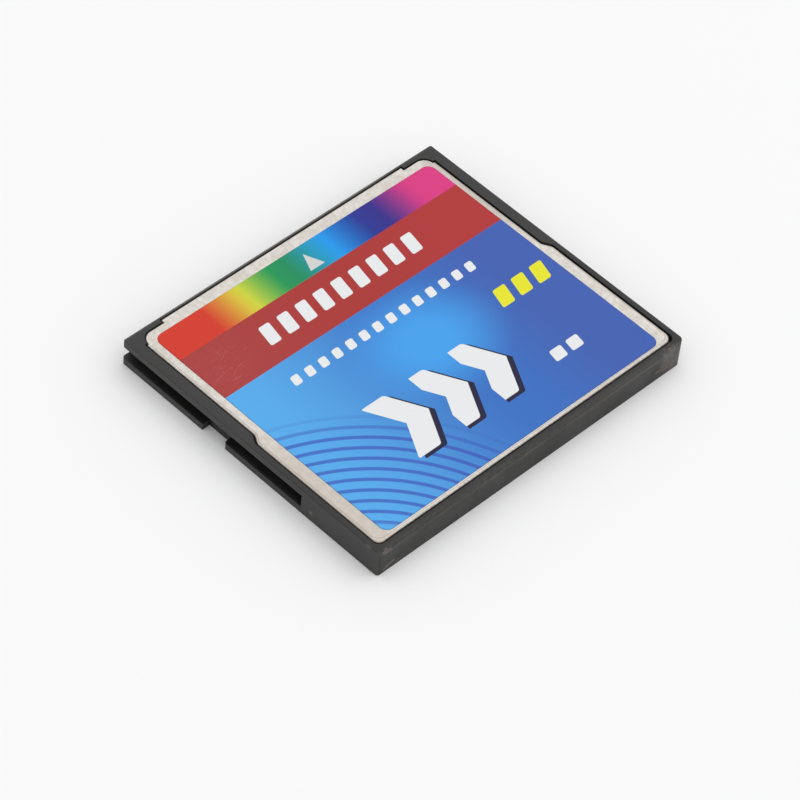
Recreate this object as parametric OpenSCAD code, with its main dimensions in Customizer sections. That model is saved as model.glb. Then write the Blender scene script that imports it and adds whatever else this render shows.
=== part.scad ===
/* [Card] */
// Width across the two grooved side edges
card_w = 42.8; // [42:0.1:46]
// Length from the connector edge to the rear edge
card_l = 36.4; // [36:0.1:40]
// Thickness over both faces
card_t = 3.3; // [3.3:0.1:4]
// Radius of the four upright corners of the frame
corner_r = 0.4; // [0.3:0.05:0.8]
// Radius of the right rear corner, which is worn blunter
worn_corner_r = 0.9; // [0.4:0.05:1]
// Chamfer along the outer edges of the frame
edge_c = 0.05; // [0.03:0.01:0.1]
// Radius along the upper and lower edges of the connector end
front_edge_r = 0.25; // [0.1:0.01:0.3]
// Radius along the upper edge of the rear end
rear_edge_r = 0.35; // [0.1:0.01:0.4]
// Radius along the upper edges of both sides
side_edge_r = 0.1; // [0.08:0.01:0.3]
// Width of each side rail, from its outer face to the board pocket
rail_w = 2.4; // [2.2:0.1:3]
// Length of the solid beam along the rear edge
beam_l = 2.2; // [2:0.1:3]

/* [Keying grooves] */
// Length of each groove from the connector edge
groove_l = 25.78; // [22:0.1:28]
// Depth of each groove into the side
groove_d = 1.01; // [0.8:0.01:1.1]
// Height of the groove in the left side
wide_groove_h = 1.6; // [1.3:0.05:1.7]
// Height of the groove in the right side
narrow_groove_h = 0.99; // [0.8:0.01:1.2]
// Distance from the connector edge to the notch in each lower rail
notch_from = 11.8; // [8:0.1:15]
// Length of each notch
notch_l = 3.1; // [2:0.1:4]
// Radius at the rear end of each notch
notch_r = 0.35; // [0.2:0.05:0.5]

/* [Covers] */
// Thickness of the sheet steel
cover_t = 0.2; // [0.15:0.01:0.25]
// Depth of a cover's face below the face of the frame
cover_drop = 0.05; // [0:0.01:0.1]
// Gap between a cover's edge and the frame
cover_gap = 0.18; // [0.08:0.01:0.25]
// Distance from each side of the card to a cover, over its rear half
cover_rear_side = 0.8; // [0.7:0.01:1.2]
// Distance from each side of the card to a cover, over its front half
cover_front_side = 1.4; // [1.3:0.01:1.8]
// Distance from each side of the card to a cover's rounded front corners
cover_nose_side = 1.65; // [1.5:0.01:2.2]
// Radius of the front corners of a cover
cover_nose_r = 1.2; // [0.6:0.1:1.6]
// Distance from each side of the card to the tongue of a cover's front edge
tongue_side = 4.75; // [4.2:0.05:6]
// Radius of the rear corners of a cover
cover_rear_r = 0.6; // [0.3:0.1:1]
// Distance from the rear edge of the card to a cover
cover_rear_margin = 0.95; // [0.8:0.05:1.4]
// Distance from the connector edge to the tongue
tongue_margin = 0.5; // [0.4:0.05:0.8]
// Distance from the connector edge to a cover's rounded corners
nose_margin = 0.92; // [0.85:0.01:1.2]
// Distance from the connector edge to the end of the turned-down rim
rim_margin = 2.1; // [1.8:0.1:3]
// Height of the turned-down rim below the sheet
rim_h = 0.35; // [0.2:0.05:0.4]
// Length of the curved step where a cover widens
step_l = 1.45; // [1:0.05:2.5]
// Distance from the connector edge to the start of the curved step
step_from = 17.35; // [12:0.1:22]

/* [Front label] */
// Distance from each side of the card to the printed label
label_side = 2.3; // [2:0.05:4]
// Thickness of the printed film
label_t = 0.05; // [0.03:0.01:0.1]
// Radius of the label's corners
label_r = 1; // [0.3:0.1:2]
// Distance from the rear edge of the card to the label
label_rear_margin = 1.45; // [1.3:0.05:2.5]
// Distance from the connector edge to the label
label_front_margin = 1.85; // [1.5:0.05:5]

/* [Connector] */
// Number of contacts in one row
row_count = 25; // [21:2:25]
// Distance between the two rows
row_spacing = 1.27; // [1:0.01:1.27]
// Length of the moulded body behind the connector edge
body_l = 7; // [6:0.1:8]
// Distance from each side of the card to the body
body_side = 4.1; // [3.9:0.1:4.6]
// Distance from each end of the body to the middle of its last contact
row_end = 2.06; // [1.5:0.01:2.5]
// Gap between each end of the flange and the board pocket
flange_gap = 0.4; // [0.1:0.05:1]
// Length of the flange
flange_l = 1.8; // [1.2:0.1:2.5]
// Length of the bar of the frame that the body passes through
bar_l = 1.2; // [0.8:0.1:1.6]
// Thickness of that bar above and below the body, with the cover's seat
bar_t = 0.45; // [0.4:0.01:0.5]
// Side of the square hole at each contact
hole_s = 0.6; // [0.5:0.02:0.7]
// Width of the lead-in cone at the mouth of each hole
mouth_d = 0.95; // [0.8:0.05:1]
// Width of a contact
contact_w = 0.36; // [0.3:0.02:0.44]
// Thickness of the contact strip
contact_t = 0.12; // [0.08:0.01:0.14]
// Length of a contact's solder tail on the board
tail_l = 1.3; // [0.8:0.1:1.6]

/* [Circuit board] */
// Thickness of the board
board_t = 0.4; // [0.4:0.05:0.6]
// Gap between the board and what surrounds it
board_gap = 0.1; // [0.05:0.01:0.2]
// Width of the ledge that carries the board
ledge_w = 0.8; // [0.5:0.1:1]
// Distance of the chips from the sides of the board
chip_margin = 1; // [0.9:0.1:1.2]

/* [Chips] */
// Gap between the leads of the flash memory and those of the controller
chip_gap = 3.8; // [1:0.1:6]
// Distance from the last lead of a flash memory to the side of its body
flash_shoulder = 0.25; // [0.2:0.05:0.5]
// Number of leads at each end of a flash memory
flash_leads_n = 24; // [16:2:24]
// Distance from the controller's last lead to the corner of its body
control_shoulder = 1.25; // [0.9:0.05:1.25]
// Number of leads along each side of the controller
control_leads_n = 16; // [12:1:16]
// Height of the chip bodies
chip_h = 0.9; // [0.8:0.01:0.9]
// Gap under a chip body
standoff = 0.05; // [0.03:0.01:0.08]
// Spacing of the chip leads
lead_pitch = 0.5; // [0.4:0.05:0.5]
// Width of a chip lead
lead_w = 0.22; // [0.16:0.01:0.26]
// Thickness of a chip lead
lead_t = 0.12; // [0.1:0.01:0.16]
// Length of a flash memory lead outside the body
flash_reach = 0.8; // [0.7:0.05:1]
// Length of a controller lead outside the body
control_reach = 1; // [0.8:0.05:1.2]
// Length of the foot of a chip lead
foot_l = 0.4; // [0.3:0.05:0.5]
// Radius of the dimple that marks the first lead
dimple_r = 0.4; // [0.2:0.05:0.6]

/* [Small parts] */
// Length of the clock oscillator
osc_l = 5; // [4:0.1:5]
// Width of the clock oscillator
osc_w = 3.2; // [2.5:0.1:3.2]
// Height of the oscillator's ceramic base
osc_base_h = 0.7; // [0.5:0.05:0.75]
// Height of the oscillator's metal lid
osc_lid_h = 0.25; // [0.1:0.05:0.3]
// Length of the regulator's body
reg_l = 2.9; // [2.5:0.1:3]
// Width of the regulator's body
reg_w = 1.6; // [1.4:0.1:1.7]
// Length of a bulk capacitor
bulk_l = 3.2; // [2:0.1:3.2]
// Width of a bulk capacitor
bulk_w = 1.6; // [1.2:0.1:1.6]
// Height of a bulk capacitor
bulk_h = 0.95; // [0.6:0.05:0.95]
// Number of bulk capacitors
bulk_n = 3; // [1:1:3]
// Length of a small capacitor
cap_l = 1.6; // [1:0.1:1.6]
// Width of a small capacitor
cap_w = 0.8; // [0.5:0.05:0.8]
// Height of a small capacitor
cap_h = 0.8; // [0.4:0.05:0.8]
// Number of small capacitors in a row
cap_n = 6; // [2:1:6]
// Length of a resistor
res_l = 1.6; // [1:0.1:1.6]
// Width of a resistor
res_w = 0.8; // [0.5:0.05:0.8]
// Height of a resistor
res_h = 0.45; // [0.3:0.05:0.6]
// Number of resistors in the row
res_n = 8; // [2:1:8]
// Length of a resistor array
array_l = 3.2; // [2:0.1:3.2]
// Width of a resistor array
array_w = 1.6; // [1:0.1:1.6]
// Height of a resistor array
array_h = 0.5; // [0.35:0.05:0.6]
// Number of resistor arrays
array_n = 6; // [2:1:6]
// Gap between neighbouring small parts
part_gap = 0.6; // [0.3:0.05:0.8]

/* [Insulating films] */
// Thickness of each film
film_t = 0.08; // [0.05:0.01:0.1]
// Distance of each film from the ledges
film_margin = 0.6; // [0.3:0.1:2]

/* [Hidden] */

half_w = card_w / 2;
half_l = card_l / 2;
mid_z = card_t / 2;
// Cuts run this far past a face
past = 1;
// Sliding gap around pieces that are pushed into place
slip = 0.02;
// Facets asked of a round, all rebuilt as true curves
round_fn = 48;

seat_z = card_t - cover_drop - cover_t;
cover_rear_y = -half_l + cover_rear_margin;
rim_end_y = half_l - rim_margin;
step_y = half_l - step_from;
nose_y = half_l - nose_margin;
tongue_y = half_l - tongue_margin;
cover_front_x = half_w - cover_front_side;
label_l = card_l - label_rear_margin - label_front_margin;

pocket_x = half_w - rail_w;
pocket_rear_y = -half_l + beam_l;
body_rear_y = half_l - body_l;
shoulder_y = body_rear_y + flange_l;
bar_y = half_l - bar_l;
row_z = row_spacing / 2;
cavity_rear_y = body_rear_y + 0.7;

board_top_z = mid_z + board_t / 2;
board_x = pocket_x - board_gap;
board_rear_y = pocket_rear_y + board_gap;
board_front_y = body_rear_y - board_gap;
body_w = card_w - 2 * body_side;
flange_w = 2 * (pocket_x - flange_gap);
pitch = (body_w - 2 * row_end) / (row_count - 1);
tail_knee = 0.5;
tail_rear_y = board_front_y - tail_knee - tail_l;

// Rows of small parts, from the connector edge to the rear edge
array_y = tail_rear_y - part_gap - array_w / 2;
flash_w = (flash_leads_n - 1) * lead_pitch + 2 * flash_shoulder;
control_s = (control_leads_n - 1) * lead_pitch + 2 * control_shoulder;
chip_row_w = max(flash_w, control_s + 2 * control_reach);
chip_row_y = array_y - array_w / 2 - part_gap - chip_row_w / 2;
rear_row_y = chip_row_y - chip_row_w / 2 - part_gap - osc_w / 2;
flash_l = 2 * (board_x - chip_margin - flash_reach - control_reach) - control_s - chip_gap;
flash_x = -board_x + chip_margin + flash_reach + flash_l / 2;
control_x = board_x - chip_margin - control_reach - control_s / 2;
osc_x = board_x - chip_margin - osc_l / 2;
reg_x = osc_x - osc_l / 2 - part_gap - reg_l / 2;
bulk_x = -board_x + chip_margin + bulk_l / 2;

// A flat plate with rounded upright corners
module rounded_plate(w, l, h, r) {
    linear_extrude(h) {
        square([w - 2 * r, l], center = true);
        square([w, l - 2 * r], center = true);
        for (x = [-1, 1], y = [-1, 1])
            translate([x * (w / 2 - r), y * (l / 2 - r)])
                circle(r, $fn = round_fn);
    }
}

// A long bar with its four long edges bevelled, running along Y
module bevelled_bar(w, run, h, c) {
    rotate([90, 0, 0])
        linear_extrude(run, center = true)
            polygon([
                [-w / 2, c], [-w / 2, h - c], [-w / 2 + c, h], [w / 2 - c, h],
                [w / 2, h - c], [w / 2, c], [w / 2 - c, 0], [-w / 2 + c, 0]
            ]);
}

// A block with all its upper and lower edges bevelled
module bevelled_block(w, l, h, c) {
    intersection() {
        bevelled_bar(w, l, h, c);
        rotate(90)
            bevelled_bar(l, w, h, c);
    }
}

// The frame's outer form: rounded upright corners and a chamfer that follows them
module outer_form() {
    reach = (card_w + card_l) / sqrt(2);
    diagonal = (half_w + half_l - 2 * corner_r) * sqrt(2) + 2 * corner_r;
    intersection() {
        rounded_plate(card_w, card_l, card_t, corner_r);
        bevelled_block(card_w, card_l, card_t, edge_c);
        rotate(45)
            bevelled_bar(diagonal, reach, card_t, edge_c);
        rotate(-45)
            bevelled_bar(diagonal, reach, card_t, edge_c);
    }
}

// One side of the smooth step: the edge runs from the front width to the rear width
function step_edge(front_x, rear_x, front_y, rear_y, steps = 10) = [
    for (i = [0:steps])
        let (s = i / steps)
        [front_x + (rear_x - front_x) * (1 - cos(180 * s)) / 2, front_y + (rear_y - front_y) * s]
];

// Outline of a cover, grown outwards by g
module cover_outline(g) {
    front_x = cover_front_x + g;
    rear_x = half_w - cover_rear_side + g;
    nose_x = half_w - cover_nose_side + g;
    tongue_x = half_w - tongue_side + g;
    rear_r = cover_rear_r + g;
    nose_r = cover_nose_r + g;
    top_y = step_y + g / 2;
    low_y = top_y - step_l;
    right = step_edge(front_x, rear_x, top_y, low_y);
    left = [for (i = [len(right) - 1:-1:0]) [-right[i][0], right[i][1]]];
    polygon(concat(right, left));
    translate([-rear_x, cover_rear_y - g + rear_r])
        square([2 * rear_x, low_y - cover_rear_y + g - rear_r]);
    translate([-rear_x + rear_r, cover_rear_y - g])
        square([2 * (rear_x - rear_r), rear_r]);
    for (x = [-1, 1])
        translate([x * (rear_x - rear_r), cover_rear_y - g + rear_r])
            circle(rear_r, $fn = round_fn);
    translate([-front_x, top_y])
        square([2 * front_x, rim_end_y + g - top_y]);
    translate([-nose_x, top_y])
        square([2 * nose_x, nose_y + g - nose_r - top_y]);
    translate([-nose_x + nose_r, top_y])
        square([2 * (nose_x - nose_r), nose_y + g - top_y]);
    for (x = [-1, 1])
        translate([x * (nose_x - nose_r), nose_y + g - nose_r])
            circle(nose_r, $fn = round_fn);
    translate([-tongue_x, 0])
        square([2 * tongue_x, tongue_y + g]);
}

// The band along the sides and the rear where a cover is turned down
module rim_outline(outer, inner) {
    difference() {
        intersection() {
            cover_outline(outer);
            translate([-half_w, -half_l])
                square([card_w, half_l + rim_end_y + outer]);
        }
        cover_outline(inner);
        translate([-cover_front_x - inner, 0])
            square([2 * (cover_front_x + inner), half_l]);
    }
}

// A stamped cover in its place on the upper face
module cover_shell() {
    translate([0, 0, seat_z])
        linear_extrude(cover_t)
            cover_outline(0);
    translate([0, 0, seat_z - rim_h])
        linear_extrude(rim_h + cover_t / 2)
            rim_outline(0, -cover_t);
}

// The recess and the slot that take a cover
module cover_seat() {
    translate([0, 0, seat_z])
        linear_extrude(card_t)
            cover_outline(cover_gap);
    translate([0, 0, seat_z - rim_h - cover_drop])
        linear_extrude(card_t)
            rim_outline(cover_gap, -cover_t - cover_drop);
}

// Turns a piece of the upper face over to the lower face
module lower_face() {
    translate([0, 0, card_t])
        mirror([0, 0, 1])
            children();
}

// A keying groove in the right side
module groove(h) {
    translate([half_w - groove_d, half_l - groove_l, mid_z - h / 2])
        cube([groove_d + past, groove_l + past, h]);
}

// A notch through the lower rail of the right side, rounded at its rear end
module rail_notch(h) {
    near_y = half_l - notch_from;
    far_y = near_y - notch_l;
    difference() {
        translate([half_w - groove_d, far_y - notch_r, -past])
            cube([groove_d + past, notch_l + notch_r, mid_z - h / 2 + past + slip]);
        translate([half_w - groove_d - past, far_y - notch_r - past, -2 * past])
            cube([groove_d - notch_r + past, notch_r + past, card_t + past]);
        translate([half_w - notch_r, far_y - notch_r, -2 * past])
            cylinder(r = notch_r, h = card_t + past, $fn = round_fn);
    }
}

// What the worn right rear corner leaves out
module worn_corner() {
    translate([half_w - worn_corner_r, -half_l + worn_corner_r, -past])
        difference() {
            translate([0, -worn_corner_r - past, 0])
                cube([worn_corner_r + past, worn_corner_r + past, card_t + 2 * past]);
            translate([0, 0, -past])
                cylinder(r = worn_corner_r, h = card_t + 4 * past, $fn = round_fn);
        }
}

// What a rounded upper edge leaves out: the edge runs along X, at a distance of reach from the middle
module edge_cut(run, reach, r) {
    translate([-run / 2 - past, reach - r, card_t - r])
        difference() {
            cube([run + 2 * past, r + past, r + past]);
            translate([-past, 0, 0])
                rotate([0, 90, 0])
                    cylinder(r = r, h = run + 4 * past, $fn = round_fn);
        }
}

// Spaces for the board, for the connector and for the mating plug
module inner_space() {
    translate([-pocket_x, pocket_rear_y, mid_z - board_t / 2])
        cube([2 * pocket_x, shoulder_y - pocket_rear_y, card_t]);
    translate([-pocket_x + ledge_w, pocket_rear_y + ledge_w, -past])
        cube([2 * (pocket_x - ledge_w), shoulder_y - pocket_rear_y - ledge_w, card_t]);
    translate([-pocket_x, body_rear_y - board_gap, -past])
        cube([2 * pocket_x, flange_l + board_gap, card_t]);
    translate([-body_w / 2 - slip, shoulder_y - slip, -past])
        cube([body_w + 2 * slip, bar_y - shoulder_y + slip, card_t + 2 * past]);
    translate([-body_w / 2 - slip, bar_y - slip, bar_t])
        cube([body_w + 2 * slip, bar_l + past, card_t - 2 * bar_t]);
}

module frame() {
    color("#434241")
        difference() {
            outer_form();
            inner_space();
            groove(narrow_groove_h);
            mirror([1, 0, 0])
                groove(wide_groove_h);
            rail_notch(narrow_groove_h);
            mirror([1, 0, 0])
                rail_notch(wide_groove_h);
            worn_corner();
            edge_cut(card_w, half_l, front_edge_r);
            lower_face()
                edge_cut(card_w, half_l, front_edge_r);
            rotate(180)
                edge_cut(card_w, half_l, rear_edge_r);
            for (side = [-90, 90])
                rotate(side)
                    edge_cut(card_l, half_w, side_edge_r);
            cover_seat();
            lower_face()
                cover_seat();
        }
}

module top_cover() {
    color("#d8d1c7")
        cover_shell();
}

module bottom_cover() {
    color("#d2ccc2")
        lower_face()
            cover_shell();
}

module front_label() {
    color("#3f93dd")
        translate([0, -half_l + label_rear_margin + label_l / 2, seat_z + cover_t])
            rounded_plate(card_w - 2 * label_side, label_l, label_t, label_r);
}

// A film on the inner face of the upper cover
module film() {
    rear_y = pocket_rear_y + ledge_w + film_margin;
    run = tail_rear_y - rear_y;
    translate([0, rear_y + run / 2, seat_z - film_t])
        rounded_plate(2 * (pocket_x - ledge_w - film_margin), run, film_t, label_r);
}

module upper_film() {
    color("#e3b04b")
        film();
}

module lower_film() {
    color("#e3b04b")
        lower_face()
            film();
}

// One hole for a contact, with its lead-in and the slot that holds the contact
module contact_hole() {
    front_y = half_l - slip;
    slope = (mouth_d - hole_s) / 2;
    translate([-hole_s / 2, cavity_rear_y, -hole_s / 2])
        cube([hole_s, front_y - cavity_rear_y + past, hole_s]);
    translate([0, front_y - slope, 0])
        rotate([-90, 0, 0])
            cylinder(d1 = hole_s, d2 = mouth_d + 2 * (mouth_d - hole_s), h = 3 * slope, $fn = round_fn);
    translate([-contact_w / 2 - slip, body_rear_y - past, -contact_t / 2 - slip])
        cube([contact_w + 2 * slip, cavity_rear_y - body_rear_y + 2 * past, contact_t + 2 * slip]);
}

// Places its children at every position of one row
module contact_row(z) {
    for (i = [0:row_count - 1])
        translate([(i - (row_count - 1) / 2) * pitch, 0, z])
            children();
}

module connector_body() {
    flange_z = card_t - seat_z + cover_drop;
    nose_z = bar_t + slip;
    color("#2f2f30")
        difference() {
            union() {
                translate([-flange_w / 2, body_rear_y, flange_z])
                    cube([flange_w, flange_l - slip, card_t - 2 * flange_z]);
                translate([-body_w / 2, body_rear_y, flange_z])
                    cube([body_w, bar_y - 2 * slip - body_rear_y, card_t - 2 * flange_z]);
                translate([-body_w / 2, body_rear_y, nose_z])
                    cube([body_w, body_l - slip, card_t - 2 * nose_z]);
            }
            contact_row(mid_z + row_z)
                contact_hole();
            contact_row(mid_z - row_z)
                contact_hole();
        }
}

// One forked contact of the upper row, seen from the side as a flat outline.
// Two arms grip the pin, and the tail steps down to the board.
module contact() {
    arm = hole_s / 2 - slip;
    tip_y = half_l - 1;
    waist_y = tip_y - 0.9;
    root_y = cavity_rear_y + 0.5;
    pinch = contact_t;
    low = board_top_z - mid_z - row_z;
    t = contact_t;
    translate([-contact_w / 2, 0, 0])
        rotate([90, 0, 90])
            linear_extrude(contact_w)
                polygon([
                    [cavity_rear_y, arm], [waist_y - 1, arm], [waist_y, arm - pinch / 2],
                    [tip_y, arm], [tip_y, arm - t], [waist_y, arm - pinch / 2 - t],
                    [waist_y - 1, arm - t], [root_y, arm - t], [root_y, t - arm],
                    [waist_y - 1, t - arm], [waist_y, pinch / 2 + t - arm], [tip_y, t - arm],
                    [tip_y, -arm], [waist_y, pinch / 2 - arm], [waist_y - 1, -arm],
                    [cavity_rear_y, -arm], [cavity_rear_y, -t / 2], [board_front_y, -t / 2],
                    [board_front_y - tail_knee, low], [tail_rear_y, low],
                    [tail_rear_y, low + t], [board_front_y - tail_knee + t / 2, low + t],
                    [board_front_y + t / 2, t / 2], [cavity_rear_y, t / 2]
                ]);
}

module upper_contacts() {
    color("#d9b45a")
        contact_row(mid_z + row_z)
            contact();
}

module lower_contacts() {
    color("#d9b45a")
        lower_face()
            contact_row(mid_z + row_z)
                contact();
}

module circuit_board() {
    run = board_front_y - board_rear_y;
    color("#1f6b45")
        translate([0, board_rear_y + run / 2, mid_z - board_t / 2])
            rounded_plate(2 * board_x, run, board_t, corner_r);
}

// A moulded chip body with a dimple over its first lead
module chip_body(w, l) {
    bevel = chip_h / 8;
    difference() {
        translate([0, 0, board_top_z + standoff])
            bevelled_block(w, l, chip_h, bevel);
        translate([-w / 2 + 3 * dimple_r, -l / 2 + 3 * dimple_r, board_top_z + standoff + chip_h - bevel])
            cylinder(r = dimple_r, h = past, $fn = round_fn);
    }
}

// One bent lead: it leaves the body at half height, steps down and lies on the board
module gull_wing(reach, width) {
    rise = standoff + chip_h / 2 - lead_t / 2;
    knee = (reach - foot_l) / 2;
    heel = reach - foot_l;
    translate([0, width / 2, board_top_z])
        rotate([90, 0, 0])
            linear_extrude(width)
                polygon([
                    [0, rise], [knee, rise], [heel, 0], [reach, 0], [reach, lead_t],
                    [heel + lead_t / 2, lead_t], [knee + lead_t / 2, rise + lead_t], [0, rise + lead_t]
                ]);
}

// A row of leads along the right side of a body of width w
module lead_row(w, count, spacing, reach, width) {
    for (i = [0:count - 1])
        translate([w / 2, (i - (count - 1) / 2) * spacing, 0])
            gull_wing(reach, width);
}

module controller_body() {
    color("#2b2b2d")
        translate([control_x, chip_row_y, 0])
            chip_body(control_s, control_s);
}

module controller_leads() {
    color("#c3c6c9")
        translate([control_x, chip_row_y, 0])
            for (side = [0:3])
                rotate(90 * side)
                    lead_row(control_s, control_leads_n, lead_pitch, control_reach, lead_w);
}

module flash_leads() {
    translate([flash_x, chip_row_y, 0])
        for (side = [0:1])
            rotate(180 * side)
                lead_row(flash_l, flash_leads_n, lead_pitch, flash_reach, lead_w);
}

module upper_flash_body() {
    color("#29292b")
        translate([flash_x, chip_row_y, 0])
            chip_body(flash_l, flash_w);
}

module upper_flash_leads() {
    color("#c3c6c9")
        flash_leads();
}

module lower_flash_body() {
    color("#29292b")
        lower_face()
            translate([flash_x, chip_row_y, 0])
                chip_body(flash_l, flash_w);
}

module lower_flash_leads() {
    color("#c3c6c9")
        lower_face()
            flash_leads();
}

module oscillator_base() {
    color("#d9d4c6")
        translate([osc_x, rear_row_y, board_top_z])
            rounded_plate(osc_l, osc_w, osc_base_h, osc_w / 10);
}

module oscillator_lid() {
    rim = osc_w / 16;
    color("#cfc08a")
        translate([osc_x, rear_row_y, board_top_z + osc_base_h])
            rounded_plate(osc_l - 2 * rim, osc_w - 2 * rim, osc_lid_h, osc_w / 10);
}

module regulator_body() {
    color("#2b2b2d")
        translate([reg_x, rear_row_y, board_top_z + standoff])
            bevelled_block(reg_l, reg_w, chip_h, chip_h / 8);
}

module regulator_leads() {
    spacing = reg_l / 3;
    color("#c3c6c9")
        translate([reg_x, rear_row_y, 0]) {
            rotate(-90)
                lead_row(reg_w, 3, spacing, foot_l * 1.6, 2 * lead_w);
            rotate(90)
                lead_row(reg_w, 2, 2 * spacing, foot_l * 1.6, 2 * lead_w);
        }
}

// A chip part with a plated cap at each end, lying along Y
module end_capped(w, l, h) {
    cap = l / 5;
    skin = h / 20;
    translate([-w / 2 + skin, -l / 2 + cap / 2, board_top_z + skin])
        cube([w - 2 * skin, l - cap, h - 2 * skin]);
    for (y = [-l / 2, l / 2 - cap])
        translate([-w / 2, y, board_top_z])
            cube([w, cap, h]);
}

module bulk_capacitors() {
    color("#b98d5e")
        for (i = [0:bulk_n - 1])
            translate([bulk_x + i * (bulk_l + part_gap), rear_row_y, 0])
                rotate(90)
                    end_capped(bulk_w, bulk_l, bulk_h);
}

module small_capacitors() {
    step = cap_w + part_gap;
    color("#a97f55")
        lower_face()
            for (i = [0:cap_n - 1], side = [-1, 1])
                translate([control_x + (i - (cap_n - 1) / 2) * step, chip_row_y + side * control_s / 4, 0])
                    end_capped(cap_w, cap_l, cap_h);
}

module resistors() {
    step = res_w + part_gap;
    color("#38383a")
        lower_face()
            for (i = [0:res_n - 1])
                translate([osc_x + (i - res_n + 2) * step, rear_row_y, 0])
                    end_capped(res_w, res_l, res_h);
}

// One array: a block with four plated ends along each long side
module resistor_array() {
    ends = 4;
    step = array_l / ends;
    skin = array_h / 10;
    translate([-array_l / 2, -array_w / 2 + skin, board_top_z])
        cube([array_l, array_w - 2 * skin, array_h - skin]);
    for (i = [0:ends - 1])
        translate([(i + 0.25) * step - array_l / 2, -array_w / 2, board_top_z])
            cube([step / 2, array_w, array_h]);
}

module resistor_arrays() {
    step = array_l + part_gap;
    color("#38383a")
        for (i = [0:array_n - 1])
            translate([(i - (array_n - 1) / 2) * step, array_y, 0])
                resistor_array();
}

frame();
bottom_cover();
lower_film();
connector_body();
upper_contacts();
lower_contacts();
circuit_board();
controller_body();
controller_leads();
upper_flash_body();
upper_flash_leads();
lower_flash_body();
lower_flash_leads();
oscillator_base();
oscillator_lid();
regulator_body();
regulator_leads();
bulk_capacitors();
small_capacitors();
resistors();
resistor_arrays();
upper_film();
top_cover();
front_label();
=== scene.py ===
import math

import bmesh
import bpy
import numpy as np
from mathutils import Matrix, Vector


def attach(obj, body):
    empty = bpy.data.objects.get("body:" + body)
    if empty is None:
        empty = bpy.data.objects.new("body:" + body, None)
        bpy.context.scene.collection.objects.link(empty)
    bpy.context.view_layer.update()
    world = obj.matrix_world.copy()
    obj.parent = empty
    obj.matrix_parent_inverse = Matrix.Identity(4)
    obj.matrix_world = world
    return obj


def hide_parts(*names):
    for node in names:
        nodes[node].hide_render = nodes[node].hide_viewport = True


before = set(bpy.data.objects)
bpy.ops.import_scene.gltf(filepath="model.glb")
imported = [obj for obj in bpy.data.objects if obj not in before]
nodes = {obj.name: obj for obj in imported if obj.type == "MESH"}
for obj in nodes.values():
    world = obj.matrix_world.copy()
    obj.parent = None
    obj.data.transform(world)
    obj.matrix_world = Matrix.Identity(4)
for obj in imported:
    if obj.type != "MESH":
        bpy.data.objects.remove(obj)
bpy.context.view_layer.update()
MM = 0.001

# The frame is one black glass-filled moulding that carries everything else.
# Its edges are softened by the mould, and its skin has a fine even grain.
# Scuffs lie on the rear face near both corners, with a few on the long side.


def merged_copy(node, name):
    """The CAD node's surface as a new mesh: equal corners merged, flat triangles rejoined."""
    source = nodes[node].data
    mesh = bpy.data.meshes.new(name)
    mesh.from_pydata([v.co[:] for v in source.vertices], [], [p.vertices[:] for p in source.polygons])
    shape = bmesh.new()
    shape.from_mesh(mesh)
    bmesh.ops.remove_doubles(shape, verts=shape.verts, dist=0.0005 * MM)
    bmesh.ops.dissolve_limit(shape, angle_limit=math.radians(0.5), verts=shape.verts, edges=shape.edges)
    bmesh.ops.recalc_face_normals(shape, faces=shape.faces)
    shape.to_mesh(mesh)
    shape.free()
    return mesh


def stand_in(mesh, node, material, smooth_angle=35):
    """Puts a mesh in the scene as the piece that stands for a CAD node."""
    mesh.shade_smooth()
    mesh.set_sharp_from_angle(angle=math.radians(smooth_angle))
    piece = bpy.data.objects.new(mesh.name, mesh)
    bpy.context.scene.collection.objects.link(piece)
    mesh.materials.append(material)
    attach(piece, "root")
    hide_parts(node)
    return piece


def soften(piece, width, segments=2):
    """A small round along the piece's sharp edges."""
    edge = piece.modifiers.new("moulded_edge", "BEVEL")
    edge.width = width
    edge.segments = segments
    edge.limit_method = "ANGLE"
    edge.angle_limit = math.radians(25)
    edge.use_clamp_overlap = True
    edge.harden_normals = True


def add(tree, kind, inputs=(), **settings):
    """A node of that kind with its settings, and its inputs given by name as a value or a socket."""
    node = tree.nodes.new(kind)
    for key, value in settings.items():
        setattr(node, key, value)
    for key, value in dict(inputs).items():
        if isinstance(value, bpy.types.NodeSocket):
            tree.links.new(value, node.inputs[key])
        else:
            node.inputs[key].default_value = value
    return node


def calc(tree, operation, *values):
    """One math step, given sockets or numbers, returns its result."""
    return add(tree, "ShaderNodeMath", dict(enumerate(values)), operation=operation).outputs[0]


def blend(tree, factor, first, second, how="MIX"):
    """Mixes two colours by a factor."""
    node = add(tree, "ShaderNodeMix", data_type="RGBA", blend_type=how)
    for socket, value in zip((node.inputs[0], node.inputs[6], node.inputs[7]), (factor, first, second)):
        if isinstance(value, bpy.types.NodeSocket):
            tree.links.new(value, socket)
        else:
            socket.default_value = value
    return node.outputs[2]


def spread(tree, value, low, high, out_low=0.0, out_high=1.0):
    """Maps low..high to out_low..out_high with a smooth start and end."""
    return add(tree, "ShaderNodeMapRange", {
        "Value": value, "From Min": low, "From Max": high, "To Min": out_low, "To Max": out_high,
    }, interpolation_type="SMOOTHSTEP").outputs[0]


def shade(red, green, blue, sheen=0.0):
    """A display colour of 0 to 255 as the linear colour of the surface, less its share of sheen."""
    display = np.array([red, green, blue]) / 255
    linear = np.where(display < 0.04045, display / 12.92, ((display + 0.055) / 1.055) ** 2.4)
    return (*np.clip(linear - sheen, 0.002, 1.0).tolist(), 1.0)


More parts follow.
